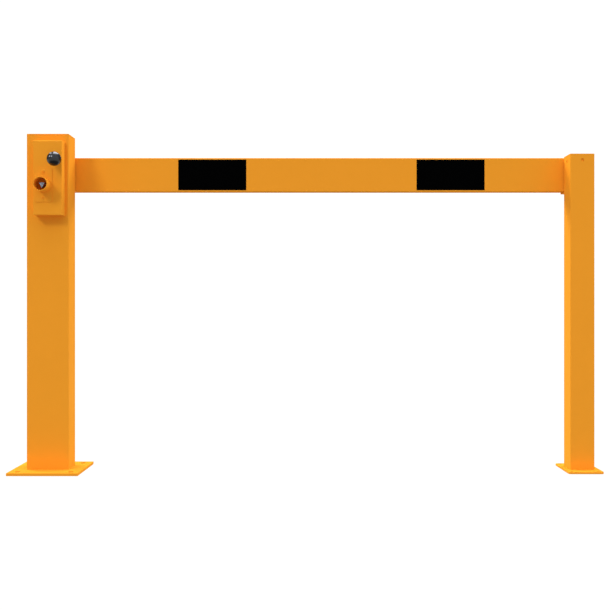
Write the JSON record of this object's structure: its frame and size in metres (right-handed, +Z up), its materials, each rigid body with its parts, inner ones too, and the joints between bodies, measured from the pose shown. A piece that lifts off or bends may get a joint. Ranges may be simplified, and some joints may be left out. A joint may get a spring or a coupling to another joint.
{
  "type": "parking barrier gate",
  "caption": "Manual lift-up parking gate: a flat boom on a horizontal shaft between a lock post and a rest post, with a pull-knob latch, a key-turned lock and a counter spring.",
  "frame": {"origin": "on the ground, under the middle of the pivot post", "axes": "+X along the gate from the pivot post to the rest post, +Y from the lock side to the boom side, +Z up"},
  "size_m": [1.679, 0.2265, 0.966],
  "materials": {
    "paint": "satin traffic-yellow powder coat",
    "steel": "machined steel",
    "zinc": "bright zinc plated",
    "rod_chrome": "hard chrome",
    "bronze": "sintered bronze",
    "knob": "gloss black phenolic",
    "film": "black adhesive film",
    "cap_plastic": "moulded plastic",
    "cylinder_black": "black lacquer",
    "pad_rubber": "solid rubber"
  },
  "bodies": {
    "posts": {"pivot_post": "paint", "pivot_base_plate": "paint", "pivot_post_cap": "paint", "lock_box_cover": "paint", "inset_plate": "paint", "inset_screws": "paint", "key_guard_tube": "paint", "key_bush": "paint", "plunger_guide": "bronze", "front_bush": "bronze", "rear_bush": "bronze", "spring_bracket": "steel", "spring_nut": "zinc", "spring_cylinder": "cylinder_black", "rest_post": "paint", "rest_base_plate": "paint", "rest_post_cap": "paint", "cap_screws": "paint", "rest_cradle": "paint", "cradle_pad": "pad_rubber"},
    "boom": {"boom_tube": "paint", "boom_end_caps": "cap_plastic", "marking_panels": "film", "boom_hub": "steel", "boom_bolts": "zinc", "pivot_shaft": "steel", "shaft_end_screw": "zinc", "lock_cam": "steel", "latch_disc": "steel", "crank_arm": "steel", "crank_pin": "steel"},
    "latch": {"ball_knob": "knob", "plunger_pin": "steel", "plunger_spring": "steel"},
    "key_drive": {"key_spindle": "steel", "key_tongue": "steel"},
    "spring_slider": {"spring_rod": "rod_chrome", "spring_yoke": "steel"}
  },
  "joints": [
    {"name": "boom_lift", "type": "hinge", "parent": "posts", "child": "boom", "pos_m": [0, 0, 0.86], "axis": [0, -1, 0], "range_deg": [0, 90]},
    {"name": "latch_push", "type": "slide", "parent": "posts", "child": "latch", "axis": [0, 1, 0], "range_m": [0, 0.011], "deforming": ["plunger_spring"]},
    {"name": "key_turn", "type": "hinge", "parent": "posts", "child": "key_drive", "pos_m": [0, 0, 0.8145], "axis": [0, -1, 0], "range_deg": [0, 90]},
    {"name": "spring_stroke", "type": "slide", "parent": "posts", "child": "spring_slider", "axis": [0, 0, 1], "range_m": [0, 0.05677]}
  ],
  "couplings": [
    {"joint": "spring_stroke", "follows": "boom_lift", "m_per_rad": 0.036013}
  ]
}
